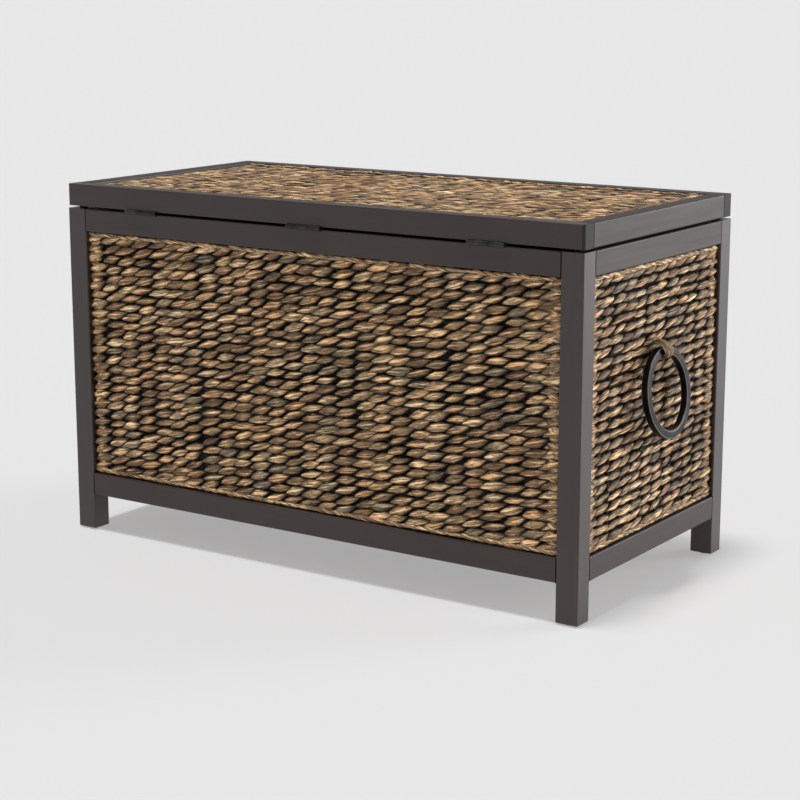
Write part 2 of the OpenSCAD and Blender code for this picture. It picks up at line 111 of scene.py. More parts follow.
def math_node(tree, operation, a, b=0.0, c=0.0, clamp=False):
    """The result of one sum on up to three values."""
    made = node(tree, "ShaderNodeMath", {0: a, 1: b, 2: c}, operation=operation, use_clamp=clamp)
    return made.outputs[0]


def ramp(tree, factor, stops):
    """A colour ramp through (place, colour) stops."""
    made = node(tree, "ShaderNodeValToRGB", {"Fac": factor})
    points = made.color_ramp.elements
    while len(points) < len(stops):
        points.new(0.5)
    for point, (place, colour) in zip(points, stops):
        point.position = place
        point.color = (*colour, 1.0)
    return made.outputs["Color"]


def grey(level):
    """A neutral colour."""
    return (level, level, level)


def mix_colour(tree, factor, a, b, blend="MIX"):
    """Colour a turned into colour b by the factor."""
    made = node(tree, "ShaderNodeMix", data_type="RGBA", blend_type=blend)
    put(tree, made.inputs["Factor"], factor)
    put(tree, made.inputs[6], a if isinstance(a, bpy.types.NodeSocket) else (*a, 1.0))
    put(tree, made.inputs[7], b if isinstance(b, bpy.types.NodeSocket) else (*b, 1.0))
    return made.outputs[2]


def noise(tree, vector, scale, detail=3.0, roughness=0.5):
    """Soft noise, about 0.5 on average."""
    made = node(tree, "ShaderNodeTexNoise",
                {"Vector": vector, "Scale": scale, "Detail": detail, "Roughness": roughness})
    return made.outputs["Fac"]


def mapped(tree, vector, scale):
    """A place scaled along each axis, so that a pattern on it is squeezed by as much."""
    made = node(tree, "ShaderNodeMapping", {"Vector": vector, "Scale": scale})
    return made.outputs["Vector"]


def surface(name, roughness=0.5, metallic=0.0, specular=0.5, **more):
    """A material with a Principled shader. Returns the material, its tree and the shader."""
    material = bpy.data.materials.new(name)
    material.use_nodes = True
    tree = material.node_tree
    shader = tree.nodes["Principled BSDF"]
    shader.inputs["Roughness"].default_value = roughness
    shader.inputs["Metallic"].default_value = metallic
    shader.inputs["Specular IOR Level"].default_value = specular
    for key, value in more.items():
        shader.inputs[key.replace("_", " ")].default_value = value
    return material, tree, shader


def bump(tree, shader, height, distance, strength=1.0):
    """Relief from a height of 0 to 1 over a distance in metres."""
    made = node(tree, "ShaderNodeBump",
                {"Height": height, "Distance": distance, "Strength": strength})
    put(tree, shader.inputs["Normal"], made.outputs["Normal"])


def object_place(tree):
    """The place on the trunk."""
    return node(tree, "ShaderNodeTexCoord").outputs["Object"]


# ---- Materials ----

def espresso_timber(name, along, smoothest, roughest, lacquer):
    """Stained and lacquered timber, with its grain along one axis."""
    material, tree, shader = surface(name, specular=0.5, Coat_Weight=lacquer, Coat_Roughness=0.4)
    place = object_place(tree)
    squeeze = [14.0, 14.0, 14.0]
    squeeze[along] = 0.9
    bands = noise(tree, mapped(tree, place, squeeze), 7.0, 4.0, 0.55)
    pores = noise(tree, mapped(tree, place, [5 * part for part in squeeze]), 9.0, 2.0, 0.6)
    cloud = noise(tree, place, 5.0, 2.0)
    tone = math_node(tree, "MULTIPLY_ADD", cloud, 0.35, math_node(tree, "MULTIPLY", bands, 0.65))
    stain = ramp(tree, tone, [(0.3, (0.020, 0.0105, 0.0090)), (0.52, (0.030, 0.0165, 0.0140)),
                              (0.75, (0.043, 0.0260, 0.0220))])
    satin = ramp(tree, bands, [(0.3, grey(smoothest)), (0.7, grey(roughest))])
    if along == 0:
        parts = node(tree, "ShaderNodeSeparateXYZ", {"Vector": place})
        reach = math_node(tree, "ABSOLUTE", parts.outputs["X"])
        beyond = math_node(tree, "SUBTRACT", reach, END_GRAIN)
        end_grain = math_node(tree, "MULTIPLY", beyond, 1 / MM, clamp=True)
        stain = mix_colour(tree, end_grain, stain, (0.013, 0.008, 0.007))
        satin = mix_colour(tree, end_grain, satin, grey(0.8))
    put(tree, shader.inputs["Base Color"], stain)
    put(tree, shader.inputs["Roughness"], satin)
    height = math_node(tree, "MULTIPLY_ADD", pores, 0.5, math_node(tree, "MULTIPLY", bands, 0.5))
    bump(tree, shader, height, 0.00012, 0.6)
    return material


def woven_fibre():
    """Dry twisted fibre: each strand has its own tone, hue, lengthwise creases and cracks, with
    painted shade down its tucked sides and ends and a painted highlight on its crown.
    """
    material, tree, shader = surface("twisted_fibre", roughness=0.6, specular=0.35)
    tone = node(tree, "ShaderNodeAttribute", attribute_name="tone").outputs["Fac"]
    seed = node(tree, "ShaderNodeAttribute", attribute_name="strand_seed").outputs["Fac"]
    crown = node(tree, "ShaderNodeAttribute", attribute_name="crown").outputs["Fac"]
    place = object_place(tree)
    strand = node(tree, "ShaderNodeUVMap", uv_map="UVMap").outputs["UV"]
    shift = node(tree, "ShaderNodeCombineXYZ", {"X": seed, "Y": seed, "Z": seed}).outputs[0]
    moved = node(tree, "ShaderNodeVectorMath", {0: strand, 1: shift}, operation="ADD").outputs[0]
    creases = noise(tree, mapped(tree, moved, (1.3, 5.0, 1.0)), 1.0, 3.0, 0.6)
    fine = noise(tree, mapped(tree, moved, (3.5, 24.0, 1.0)), 1.0, 2.0, 0.6)
    blotch = noise(tree, mapped(tree, moved, (3.0, 3.0, 3.0)), 1.0, 2.0)
    drift = noise(tree, place, 9.0, 2.0)
    mixed = math_node(tree, "MULTIPLY_ADD", tone, 0.36, math_node(tree, "MULTIPLY", blotch, 0.5))
    mixed = math_node(tree, "MULTIPLY_ADD", drift, 0.15, mixed)
    body = ramp(tree, mixed, [(0.22, (0.20, 0.128, 0.076)), (0.38, (0.43, 0.262, 0.134)),
                              (0.55, (0.70, 0.432, 0.217)), (0.78, (0.93, 0.665, 0.385))])
    hue = noise(tree, shift, 3.1, 0.0)
    warm = mix_colour(tree, ramp(tree, hue, [(0.55, grey(0)), (0.7, grey(0.4))]),
                      body, (0.62, 0.31, 0.14))
    warm = mix_colour(tree, ramp(tree, hue, [(0.3, grey(0.55)), (0.42, grey(0))]),
                      warm, (0.26, 0.25, 0.17))
    streak = ramp(tree, creases, [(0.32, grey(0.11)), (0.44, grey(0.56)), (0.54, grey(1.22)),
                                  (0.66, grey(2.00))])
    lined = mix_colour(tree, 1.0, warm, streak, "MULTIPLY")
    split = math_node(tree, "ABSOLUTE", math_node(tree, "SUBTRACT", creases, 0.5))
    cracks = ramp(tree, split, [(0.0, grey(0.22)), (0.03, grey(0.85)), (0.05, grey(1.0))])
    lined = mix_colour(tree, 1.0, lined, cracks, "MULTIPLY")
    threads = ramp(tree, fine, [(0.35, grey(0.42)), (0.6, grey(1.18))])
    lined = mix_colour(tree, 1.0, lined, threads, "MULTIPLY")
    # Painted shade and painted highlight: near-black where the strand tucks under its neighbours,
    # lighter than its own colour on the crown.
    sunk = ramp(tree, crown, [(0.36, grey(0.003)), (0.66, grey(0.16)), (0.87, grey(0.94)),
                              (1.0, grey(1.36))])
    put(tree, shader.inputs["Base Color"], mix_colour(tree, 1.0, lined, sunk, "MULTIPLY"))
    height = math_node(tree, "MULTIPLY_ADD", fine, 0.4, creases)
    bump(tree, shader, height, 0.0018, 1.0)
    return material


def dark_core():
    """Painted shade: a near-black stand-in for the shaded inside of a woven panel, between the
    strands.
    """
    material, tree, shader = surface("panel_core_painted_shade", roughness=0.9, specular=0.1)
    strands = noise(tree, mapped(tree, object_place(tree), (60, 60, 260)), 1.0, 2.0)
    colour = ramp(tree, strands, [(0.3, (0.004, 0.003, 0.002)), (0.7, (0.012, 0.008, 0.006))])
    put(tree, shader.inputs["Base Color"], colour)
    return material


def hinge_bronze():
    """Dark bronze with a slight mottle and fine scratches."""
    material, tree, shader = surface("hinge_bronze", metallic=0.85)
    place = object_place(tree)
    mottle = noise(tree, place, 55.0, 4.0, 0.6)
    put(tree, shader.inputs["Base Color"],
        ramp(tree, mottle, [(0.35, (0.030, 0.028, 0.028)), (0.75, (0.085, 0.080, 0.078))]))
    put(tree, shader.inputs["Roughness"], ramp(tree, mottle, [(0.3, grey(0.36)), (0.7, grey(0.52))]))
    bump(tree, shader, noise(tree, place, 420.0, 2.0), 0.00008, 0.5)
    return material


def ring_iron(side_name):
    """Blackened iron whose four rounded edges are painted a satin grey, partly for rubbed wear and
    partly as a painted highlight.

    The edges are found in the ring's own frame: the pivot is its middle, its lowest
    angle is plumb, and its centre is one mean radius below the pivot.
    """
    joint = JOINTS[f"ring_{side_name}_swing"]
    pivot = Vector(joint["pos_m"])
    lean = math.radians(-joint["range_deg"][0]) * math.copysign(1.0, -pivot.x)
    low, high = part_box(f"ring_handle_{side_name}")
    mid_r = (high.y - low.y) / 2 - RING_SECTION / 2
    material, tree, shader = surface("ring_iron_" + side_name, metallic=0.15, specular=0.14)
    place = object_place(tree)
    local = node(tree, "ShaderNodeMapping", {"Vector": place, "Location": pivot,
                                             "Rotation": (0, lean, 0)}, vector_type="TEXTURE")
    parts = node(tree, "ShaderNodeSeparateXYZ", {"Vector": local.outputs["Vector"]})
    y, z = parts.outputs["Y"], math_node(tree, "ADD", parts.outputs["Z"], mid_r)
    reach = math_node(tree, "SQRT", math_node(tree, "ADD", math_node(tree, "MULTIPLY", y, y),
                                              math_node(tree, "MULTIPLY", z, z)))
    radial = math_node(tree, "ABSOLUTE", math_node(tree, "SUBTRACT", reach, mid_r))
    across = math_node(tree, "ABSOLUTE", parts.outputs["X"])
    corner = math_node(tree, "MULTIPLY", math_node(tree, "MINIMUM", radial, across),
                       1 / (RING_SECTION / 2))
    mottle = noise(tree, place, 55.0, 4.0, 0.6)
    # Painted highlight and wear: a satin grey along the four rounded edges.
    wear_and_highlight = math_node(tree, "MULTIPLY_ADD", math_node(tree, "SUBTRACT", mottle, 0.5), 0.12, corner)
    rubbed_and_highlit = ramp(tree, wear_and_highlight, [(0.70, grey(0.0)), (0.80, grey(1.0))])
    dark = ramp(tree, mottle, [(0.35, (0.004, 0.004, 0.005)), (0.75, (0.012, 0.012, 0.013))])
    put(tree, shader.inputs["Base Color"], mix_colour(tree, rubbed_and_highlit, dark, (0.24, 0.23, 0.22)))
    satin = ramp(tree, mottle, [(0.3, grey(0.22)), (0.7, grey(0.36))])
    put(tree, shader.inputs["Roughness"], satin)
    bump(tree, shader, noise(tree, place, 420.0, 2.0), 0.00008, 0.5)
    return material


def joint_shadow():
    """Painted shade in the joints of the frame: near-black, where the grooves at the joints lie in
    shade.
    """
    material, tree, shader = surface("joint_painted_shade", roughness=0.95, specular=0.1)
    grain = noise(tree, mapped(tree, object_place(tree), (200, 200, 60)), 1.0, 2.0)
    put(tree, shader.inputs["Base Color"], ramp(tree, grain, [(0.3, grey(0.003)), (0.7, grey(0.010))]))
    return material


def bright_steel():
    """Zinc-plated steel, brushed along the upright axis."""
    material, tree, shader = surface("zinc_plated_steel", roughness=0.3, metallic=1.0)
    place = object_place(tree)
    brushed = noise(tree, mapped(tree, place, (500, 500, 18)), 1.0, 3.0)
    put(tree, shader.inputs["Base Color"],
        ramp(tree, brushed, [(0.3, grey(0.50)), (0.7, (0.64, 0.64, 0.62))]))
    put(tree, shader.inputs["Roughness"], ramp(tree, brushed, [(0.3, grey(0.24)), (0.7, grey(0.38))]))
    bump(tree, shader, brushed, 0.00003, 0.5)
    return material


def plain_timber(name, light, dark, roughness=0.6, along=0, specular=0.35):
    """Timber or cane without lacquer, with its grain along one axis."""
    material, tree, shader = surface(name, roughness=roughness, specular=specular)
    squeeze = [22.0, 22.0, 22.0]
    squeeze[along] = 1.2
    grain = noise(tree, mapped(tree, object_place(tree), squeeze), 6.0, 4.0, 0.6)
    put(tree, shader.inputs["Base Color"], ramp(tree, grain, [(0.3, dark), (0.7, light)]))
    bump(tree, shader, grain, 0.0002, 0.5)
    return material


def soft_black(name, level, scale):
    """Matt black nylon or felt with a fine fuzz."""
    material, tree, shader = surface(name, roughness=0.85, specular=0.25)
    fuzz = noise(tree, object_place(tree), scale, 3.0, 0.7)
    put(tree, shader.inputs["Base Color"],
        ramp(tree, fuzz, [(0.3, grey(level * 0.6)), (0.7, grey(level * 1.5))]))
    bump(tree, shader, fuzz, 0.0003, 0.6)
    return material


# ---- Pieces ----

def new_piece(name, mesh, body, slot_name, *replaced):
    """Puts a finished mesh in the scene, rides it and hides the CAD nodes it stands for."""
    piece = bpy.data.objects.new(name, mesh)
    scene.collection.objects.link(piece)
    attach(piece, body)
    if replaced:
        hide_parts(*replaced)


def strand_cell():
    """One visible turn of a strand: a closed, pointed pillow of unit length, width and height."""
    section = [math.radians(a) for a in (0, 32, 64, 90, 116, 148, 180, 270)]
    stations = [-0.88, -0.66, -0.34, 0.0, 0.34, 0.66, 0.88]
    under = 0.3  # depth of the hidden side
    tip_drop = -0.3  # level of the two tips, which tuck under the neighbours
    swing = 0.15  # how far the tips bend sideways, one each way
    points = [(-0.5, -swing, tip_drop)]
    for s in stations:
        half = 0.5 * (1 - abs(s) ** 1.55)
        lift = (1 - s * s) ** 0.42
        droop = tip_drop * abs(s) ** 6
        for angle in section:
            high = math.sin(angle) * (1.0 if math.sin(angle) > 0 else under)
            points.append((0.5 * s, half * math.cos(angle) + swing * s ** 3, droop + lift * high))
    points.append((0.5, swing, tip_drop))
    ring = len(section)
    last = len(points) - 1
    faces = []
    for k in range(ring):
        after = (k + 1) % ring
        faces.append((0, 1 + after, 1 + k))
        faces.append((last, last - ring + k, last - ring + after))
    for row in range(len(stations) - 1):
        for k in range(ring):
            after = (k + 1) % ring
            a = 1 + row * ring
            faces.append((a + k, a + after, a + ring + after, a + ring + k))
    mesh = bpy.data.meshes.new("strand_cell")
    mesh.from_pydata(points, [], faces)
    uv = mesh.uv_layers.new(name="UVMap")
    for loop in mesh.loops:
        x, y, _ = points[loop.vertex_index]
        uv.data[loop.index].uv = (x + 0.5, y + 0.5)
    # The crown, low at the tips and on the hidden side and 1 on top, drives the fibre's painted shade
    # and painted highlight.
    crown = mesh.attributes.new("crown", "FLOAT", "POINT")
    for index, (_, _, z) in enumerate(points):
        crown.data[index].value = max(0.0, min(1.0, -tip_drop + (1 + tip_drop) * z))
    mesh.update()
    return bpy.data.objects.new("strand_cell", mesh)


class Weave:
    """The Geometry Nodes tree that lays strands over both faces of a panel."""

    def __init__(self, name):
        self.tree = bpy.data.node_groups.new(name, "GeometryNodeTree")
        self.sockets = self.tree.interface
        for way in ("INPUT", "OUTPUT"):
            self.sockets.new_socket("Geometry", in_out=way, socket_type="NodeSocketGeometry")
        self.group_in = node(self.tree, "NodeGroupInput")
        self.group_out = node(self.tree, "NodeGroupOutput")
        self.ids = {}

    def input(self, name, kind="NodeSocketFloat"):
        """A named input of the tree."""
        made = self.sockets.new_socket(name, in_out="INPUT", socket_type=kind)
        self.ids[name] = made.identifier
        return self.group_in.outputs[name]

    def calc(self, operation, a, b=0.0):
        return math_node(self.tree, operation, a, b)

    def between(self, low, high, seed):
        """One random value for each point."""
        made = node(self.tree, "FunctionNodeRandomValue", {"Seed": seed}, data_type="FLOAT")
        put(self.tree, made.inputs[2], low)
        put(self.tree, made.inputs[3], high)
        return made.outputs[1]

    def row_value(self, low, high, row, seed):
        """One random value for each row."""
        value = self.between(low, high, seed)
        put(self.tree, value.node.inputs["ID"], row)
        return value

    def vector(self, x, y, z):
        return node(self.tree, "ShaderNodeCombineXYZ", {"X": x, "Y": y, "Z": z}).outputs[0]

    def grid(self, width, height, columns, rows):
        """Evenly spread points about the middle."""
        made = node(self.tree, "GeometryNodeMeshGrid",
                    {"Size X": width, "Size Y": height, "Vertices X": columns, "Vertices Y": rows})
        return made.outputs["Mesh"]

    def shifted(self, points, offset):
        made = node(self.tree, "GeometryNodeSetPosition", {"Geometry": points, "Offset": offset})
        return made.outputs["Geometry"]

    def joined(self, parts):
        made = node(self.tree, "GeometryNodeJoinGeometry")
        for part in parts:
            self.tree.links.new(part, made.inputs["Geometry"])
        return made.outputs["Geometry"]

    def turned(self, geometry, rotation):
        made = node(self.tree, "GeometryNodeTransform", {"Geometry": geometry, "Rotation": rotation})
        return made.outputs["Geometry"]

    def strands(self, points, cell, size, tilt, tilt_spread, seed, tones=(0.0, 1.0)):
        """Strand cells on points: size is (length, width, height), angles are in radians."""
        def drawn(low, high, step):
            """One random value for each strand, from the seed moved on by a step."""
            return self.between(low, high, self.calc("ADD", seed, step))

        turn = self.vector(drawn(-STRAND_ROLL, STRAND_ROLL, 1.0),
                           drawn(-STRAND_PITCH, STRAND_PITCH, 2.0),
                           self.calc("ADD", tilt, drawn(-tilt_spread, tilt_spread, 3.0)))
        scale = self.vector(*(self.calc("MULTIPLY", full, drawn(*shares, step))
                              for full, shares, step in zip(size, STRAND_SHARES, (4.0, 5.0, 6.0))))
        made = node(self.tree, "GeometryNodeInstanceOnPoints",
                    {"Points": points, "Instance": cell, "Rotation": turn, "Scale": scale})
        laid = made.outputs["Instances"]
        for name, low, high, step in (("tone", *tones, 7.0), ("strand_seed", 0.0, 90.0, 8.0)):
            stored = node(self.tree, "GeometryNodeStoreNamedAttribute",
                          {"Geometry": laid, "Name": name, "Value": drawn(low, high, step)},
                          data_type="FLOAT", domain="INSTANCE")
            laid = stored.outputs["Geometry"]
        return laid


def weave_tree(fibre, core):
    """Builds the tree once. Its inputs size it for each panel, which lies flat, facing up."""
    weave = Weave("woven_panel")
    tree = weave.tree
    width, height = weave.input("Width"), weave.input("Height")
    thick = weave.input("Thickness")
    row_pitch, cell_pitch = weave.input("Row pitch"), weave.input("Strand pitch")
    strand_l, strand_w = weave.input("Strand length"), weave.input("Strand width")
    tilt, strand_h = weave.input("Tilt"), weave.input("Strand height")
    seed = weave.input("Seed", "NodeSocketInt")
    both = weave.input("Both faces", "NodeSocketBool")
    cell = node(tree, "GeometryNodeObjectInfo",
                {"Object": weave.input("Strand", "NodeSocketObject")}).outputs["Geometry"]

    skin = 0.2 * MM  # left free between the crowns and the face of the panel
    top_and_bottom, both_sides = 21 * MM, 24 * MM  # the rows stay this much short, in all
    row_slip, column_slip, strand_slip = 4 * MM, 13 * MM, 2.2 * MM  # along the rows
    wave_height, calm = 11 * MM, 40 * MM  # the rows wander, and less near top and bottom
    strand_lift, sunk, raised = 0.7 * MM, -0.7 * MM, 0.2 * MM  # across the rows, and in and out
    strand_spread = math.radians(5)
    fold_pitch, fold_inset, fold_short = 10.5 * MM, 9.5 * MM, 12 * MM  # folded ends at the sides
    fold_length, fold_width, fold_level = 25 * MM, 16 * MM, -0.4 * MM
    fold_slip, fold_lift = 1.5 * MM, 0.8 * MM
    fold_tilt, fold_spread = math.radians(4), math.radians(20)
    cord_pitch, cord_inset = 14 * MM, 4.2 * MM  # border cords at top and bottom
    cord_size, cord_level = (34 * MM, 8.0 * MM, 4.0 * MM), 1.8 * MM
    cord_tilt, cord_spread = math.radians(-9), math.radians(5)
    calc = weave.calc
    level = calc("SUBTRACT", calc("MULTIPLY", thick, 0.5), calc("ADD", strand_h, skin))

    def whole_number(length, pitch):
        """How many times the pitch goes into a length."""
        return calc("ROUND", calc("DIVIDE", length, pitch))

    def edge_place(length, inset, side):
        """The place at an inset from one edge or the other."""
        return calc("MULTIPLY", calc("SUBTRACT", calc("MULTIPLY", length, 0.5), inset), side)

    def face_of(seed_now):
        """Rows of twisted strands, side folds and border cords of one face."""
        def drawn(low, high, step):
            return weave.between(low, high, calc("ADD", seed_now, step))

        clear_h = calc("SUBTRACT", height, top_and_bottom)
        rows = whole_number(clear_h, row_pitch)
        clear_w = calc("SUBTRACT", width, both_sides)
        columns = whole_number(clear_w, cell_pitch)
        pitch_y = calc("DIVIDE", clear_h, rows)
        points = weave.grid(clear_w, clear_h, calc("ADD", columns, 1.0), calc("ADD", rows, 1.0))
        spot = node(tree, "GeometryNodeInputPosition").outputs[0]
        parts = node(tree, "ShaderNodeSeparateXYZ", {"Vector": spot})
        row = whole_number(parts.outputs["Y"], pitch_y)
        row_shift = weave.row_value(-row_slip, row_slip, row, calc("ADD", seed_now, 14.0))
        wander = node(tree, "ShaderNodeTexNoise",
                      {"Vector": spot, "W": calc("MULTIPLY", seed_now, 0.37), "Scale": 7.5,
                       "Detail": 1.0}, noise_dimensions="4D").outputs["Fac"]
        near = calc("SUBTRACT", calc("MULTIPLY", clear_h, 0.5), calc("ABSOLUTE", parts.outputs["Y"]))
        free = calc("MINIMUM", calc("MULTIPLY", near, 1 / calm), 1.0)
        wave = calc("MULTIPLY", calc("SUBTRACT", wander, 0.5), calc("MULTIPLY", free, wave_height))
        column_noise = node(tree, "ShaderNodeTexNoise",
                            {"Vector": weave.vector(parts.outputs["X"], 0.0, seed_now),
                             "Scale": 17.0, "Detail": 0.0}).outputs["Fac"]
        column_shift = calc("MULTIPLY", calc("SUBTRACT", column_noise, 0.5), column_slip)
        slide = calc("ADD", calc("ADD", row_shift, column_shift),
                     weave.between(-strand_slip, strand_slip, seed_now))
        lift = calc("ADD", wave, drawn(-strand_lift, strand_lift, 11.0))
        stand = calc("ADD", level, drawn(sunk, raised, 12.0))
        groups = [weave.strands(weave.shifted(points, weave.vector(slide, lift, stand)), cell,
                                (strand_l, strand_w, strand_h), tilt, strand_spread, seed_now)]

        # The shifts keep the draws of the folds and of the cords apart.
        jitter = drawn(-fold_lift, fold_lift, 13.0)
        for side, shift in ((-1, 40.0), (1, 60.0)):
            column = weave.grid(0.0, calc("SUBTRACT", height, fold_short), 1,
                                whole_number(height, fold_pitch))
            across = calc("ADD", edge_place(width, fold_inset, side),
                          drawn(-fold_slip, fold_slip, shift + 1))
            place = weave.vector(across, jitter, calc("ADD", level, fold_level))
            groups.append(weave.strands(
                weave.shifted(column, place), cell, (fold_length, fold_width, strand_h),
                -side * fold_tilt, fold_spread, calc("ADD", seed_now, shift), tones=(0.0, 0.5)))
        for side, shift in ((-1, 80.0), (1, 100.0)):
            line = weave.grid(calc("SUBTRACT", width, cord_pitch), 0.0,
                              whole_number(width, cord_pitch), 1)
            place = weave.vector(0.0, edge_place(height, cord_inset, side),
                                 calc("ADD", level, cord_level))
            groups.append(weave.strands(
                weave.shifted(line, place), cell, cord_size, cord_tilt, cord_spread,
                calc("ADD", seed_now, shift), tones=(0.6, 1.0)))
        return weave.joined(groups)

    front = face_of(calc("MULTIPLY", seed, 1.0))
    back = weave.turned(face_of(calc("ADD", seed, 500.0)), rotation=(0, math.pi, 0))
    chosen = node(tree, "GeometryNodeSwitch", {"Switch": both, "True": back}, input_type="GEOMETRY")
    cells = node(tree, "GeometryNodeRealizeInstances",
                 {"Geometry": weave.joined([front, chosen.outputs["Output"]])}).outputs["Geometry"]
    spot = node(tree, "GeometryNodeInputPosition").outputs[0]
    rough = node(tree, "ShaderNodeTexNoise", {"Vector": spot, "Scale": 95.0, "Detail": 1.0})
    unevenness = 2.6 * MM
    offset = node(tree, "ShaderNodeVectorMath", {0: rough.outputs["Color"], 1: (0.5, 0.5, 0.5)},
                  operation="SUBTRACT").outputs[0]
    offset = node(tree, "ShaderNodeVectorMath", {0: offset, "Scale": unevenness},
                  operation="SCALE").outputs[0]
    cells = node(tree, "GeometryNodeSetShadeSmooth",
                 {"Geometry": weave.shifted(cells, offset)}).outputs["Geometry"]
    cells = node(tree, "GeometryNodeSetMaterial", {"Geometry": cells, "Material": fibre})

    core_inset, core_side, core_end, least = 1 * MM, 5 * MM, 4 * MM, 0.6 * MM
    core_t = calc("SUBTRACT", calc("SUBTRACT", thick, core_inset), calc("MULTIPLY", strand_h, 2.0))
    core_size = weave.vector(calc("SUBTRACT", width, core_side), calc("SUBTRACT", height, core_end),
                             calc("MAXIMUM", core_t, least))
    # A near-black slab between the two faces of strands, painted shade seen through the gaps.
    slab = node(tree, "GeometryNodeMeshCube", {"Size": core_size}).outputs["Mesh"]
    slab = node(tree, "GeometryNodeSetMaterial", {"Geometry": slab, "Material": core})
    whole = weave.joined([cells.outputs["Geometry"], slab.outputs["Geometry"]])
    tree.links.new(whole, weave.group_out.inputs["Geometry"])
    return weave


def baked_mesh(holder, name):
    """The evaluated result of a Geometry Nodes object as a plain mesh."""
    graph = bpy.context.evaluated_depsgraph_get()
    mesh = bpy.data.meshes.new_from_object(holder.evaluated_get(graph))
    mesh.name = name
    return mesh


def woven_panel(node_name, weave, cell, seed, body):
    """A woven panel in the place of its CAD slab."""
    low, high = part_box(node_name)
    middle, span = (low + high) / 2, high - low
    right, up, out = (Vector(v) for v in FACING[node_name])
    width, height, thick = (abs(span.dot(v)) for v in (right, up, out))
    holder = bpy.data.objects.new(node_name + "_maker", bpy.data.meshes.new("maker"))
    scene.collection.objects.link(holder)
    modifier = holder.modifiers.new("weave", "NODES")
    modifier.node_group = weave.tree
    kind = ("lid" if node_name.startswith("lid")
            else "end" if node_name.endswith(("left", "right")) else "long")
    pitch, strand_l, strand_w, strand_h, tilt = STRANDS[kind]
    values = {"Width": width, "Height": height, "Thickness": thick, "Row pitch": ROW_PITCH,
              "Strand pitch": pitch * MM, "Strand length": strand_l * MM,
              "Strand width": strand_w * MM, "Strand height": strand_h * MM,
              "Tilt": math.radians(tilt), "Seed": seed, "Strand": cell, "Both faces": kind != "lid"}
    for name, value in values.items():
        modifier[weave.ids[name]] = value
    mesh = baked_mesh(holder, node_name + "_weave")
    bpy.data.objects.remove(holder)
    turn = Matrix((right, up, out)).transposed().to_4x4()
    mesh.transform(Matrix.Translation(middle) @ turn)
    new_piece(node_name + "_weave", mesh, body, "woven_fibre", node_name)


class Solid:
    """Collects the corners, faces and strand data of one mesh."""

    def __init__(self):
        self.points, self.faces, self.strand = [], [], []

    def block(self, low, high):
        """A box between two corners."""
        start = len(self.points)
        self.points += [(x, y, z) for x in (low[0], high[0]) for y in (low[1], high[1])
                        for z in (low[2], high[2])]
        sides = ((0, 1, 3, 2), (4, 6, 7, 5), (0, 4, 5, 1), (2, 3, 7, 6), (0, 2, 6, 4), (1, 5, 7, 3))
        self.faces += [tuple(start + k for k in side) for side in sides]

    def cord(self, path, radius, sides, seed):
        """A round strand along a path, with pointed ends."""
        start = len(self.points)
        taper = (0.15, 0.75, 1.0)
        run = 0.0
        for index, place in enumerate(path):
            before, after = path[max(index - 1, 0)], path[min(index + 1, len(path) - 1)]
            ahead = (after - before).normalized()
            side = ahead.cross(Vector((0, 1, 0.02))).normalized()
            over = side.cross(ahead)
            run += (place - before).length / 2 + (after - place).length / 2
            near_end = min(index, len(path) - 1 - index)
            wide = radius * taper[min(near_end, 2)]
            for k in range(sides):
                angle = math.tau * k / sides
                self.points.append(place + wide * (math.cos(angle) * side + math.sin(angle) * over))
                self.strand.append((run / FIBRE_UNIT, 0.6 * k / sides, seed))
        for row in range(len(path) - 1):
            for k in range(sides):
                a, b = start + row * sides + k, start + row * sides + (k + 1) % sides
                self.faces.append((a, b, b + sides, a + sides))
        self.faces.append(tuple(start + k for k in reversed(range(sides))))
        last = start + (len(path) - 1) * sides
        self.faces.append(tuple(last + k for k in range(sides)))

    def mesh(self, name, material):
        """The collected shape as a mesh, with the strand data that the fibre's pattern reads."""
        made = bpy.data.meshes.new(name)
        made.from_pydata(self.points, [], self.faces)
        made.materials.append(material)
        if self.strand:
            uv = made.uv_layers.new(name="UVMap")
            for loop in made.loops:
                uv.data[loop.index].uv = self.strand[loop.vertex_index][:2]
            for label, value_of in (("tone", lambda seed: (seed * 0.37) % 1.0),
                                    ("strand_seed", lambda seed: seed),
                                    ("crown", lambda seed: LOOP_CROWN)):
                layer = made.attributes.new(label, "FLOAT", "POINT")
                for index, (_, _, seed) in enumerate(self.strand):
                    layer.data[index].value = value_of(seed)
            for polygon in made.polygons:
                polygon.use_smooth = True
        made.update()
        return made


def smooth_path(stops, steps):
    """A curve through the stops, with the given number of steps between two stops."""
    ends = [2 * stops[0] - stops[1], *stops, 2 * stops[-1] - stops[-2]]
    path = []
    for a, b, c, d in zip(ends, ends[1:], ends[2:], ends[3:]):
        for step in range(steps):
            t = step / steps
            path.append(0.5 * (2 * b + (c - a) * t + (2 * a - 5 * b + 4 * c - d) * t * t
                               + (3 * b - a - 3 * c + d) * t ** 3))
    path.append(stops[-1])
    return path


